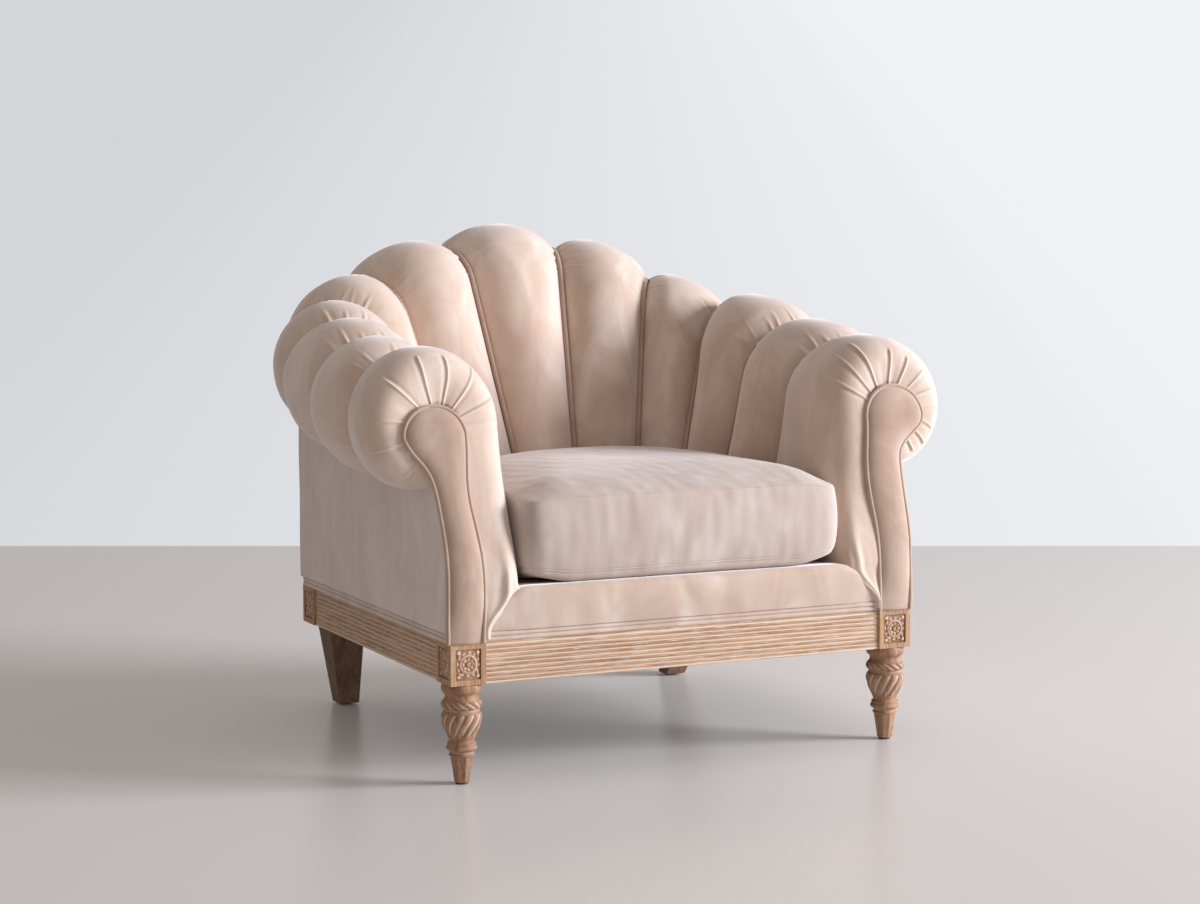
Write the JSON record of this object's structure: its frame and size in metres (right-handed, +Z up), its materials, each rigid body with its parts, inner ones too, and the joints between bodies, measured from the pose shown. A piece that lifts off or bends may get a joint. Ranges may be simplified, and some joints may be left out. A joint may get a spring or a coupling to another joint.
{
  "type": "channel back armchair",
  "caption": "Low rolled-arm tub armchair with a fanned channel-tufted back, loose box cushion and carved show-wood base on turned front legs.",
  "frame": {"origin": "on the floor, under the middle of the chair's overall width and depth", "axes": "+Z up, -Y out of the chair's front, +X towards the arm on the right as seen from the front"},
  "size_m": [0.9889, 0.8492, 0.8057],
  "materials": {
    "limed_oak": "limed, open grain, matt",
    "frame_hardwood": "sawn, unfinished",
    "zinc_steel": "zinc plated",
    "spring_steel": "oil tempered",
    "glide_nylon": "moulded nylon",
    "backing_cloth": "non-woven cambric and hessian",
    "stuffing": "foam and fibre",
    "zip_tape": "woven tape",
    "velvet": "blush velvet",
    "velvet_piping": "bias-cut velvet over cord"
  },
  "bodies": {
    "frame": {"arm_board_left": "frame_hardwood", "arm_board_right": "frame_hardwood", "arm_facing_left": "velvet", "arm_facing_right": "velvet", "arm_rail_left": "frame_hardwood", "arm_rail_right": "frame_hardwood", "back_stays": "frame_hardwood", "base_welt": "velvet_piping", "brace_screws": "zinc_steel", "channel_left_1": "velvet", "channel_left_2": "velvet", "channel_left_3": "velvet", "channel_left_4": "velvet", "channel_left_5": "velvet", "channel_left_6": "velvet", "channel_middle": "velvet", "channel_right_1": "velvet", "channel_right_2": "velvet", "channel_right_3": "velvet", "channel_right_4": "velvet", "channel_right_5": "velvet", "corner_block_front_left": "limed_oak", "corner_block_front_right": "limed_oak", "corner_block_rear_left": "limed_oak", "corner_block_rear_right": "limed_oak", "corner_braces": "frame_hardwood", "deck_pad": "stuffing", "dust_cover": "backing_cloth", "facing_piping_left": "velvet_piping", "facing_piping_right": "velvet_piping", "foot_glides": "glide_nylon", "front_border": "velvet", "front_leg_left": "limed_oak", "front_leg_right": "limed_oak", "front_rail": "limed_oak", "left_rail": "limed_oak", "leg_hanger_bolts": "zinc_steel", "lining": "backing_cloth", "outside_arm_left": "velvet", "outside_arm_right": "velvet", "outside_back": "velvet", "rear_leg_left": "limed_oak", "rear_leg_right": "limed_oak", "rear_post_left": "frame_hardwood", "rear_post_right": "frame_hardwood", "rear_rail": "limed_oak", "right_rail": "limed_oak", "roll_core": "stuffing", "seam_piping_left": "velvet_piping", "seam_piping_right": "velvet_piping", "seat_frame_front": "frame_hardwood", "seat_frame_left": "frame_hardwood", "seat_frame_rear": "frame_hardwood", "seat_frame_right": "frame_hardwood", "seat_springs": "spring_steel", "spring_clips": "zinc_steel"},
    "seat_cushion": {"seat_cushion": "velvet", "cushion_core": "stuffing", "cushion_zip_tape": "zip_tape"},
    "zip_slider": {"cushion_zip_slider": "zinc_steel"}
  },
  "joints": [
    {"name": "cushion_lift", "type": "slide", "parent": "frame", "child": "seat_cushion", "axis": [0, 0, 1], "range_m": [0, 0.38]},
    {"name": "zip_slide", "type": "slide", "parent": "seat_cushion", "child": "zip_slider", "axis": [1, 0, 0], "range_m": [0, 0.165]}
  ]
}
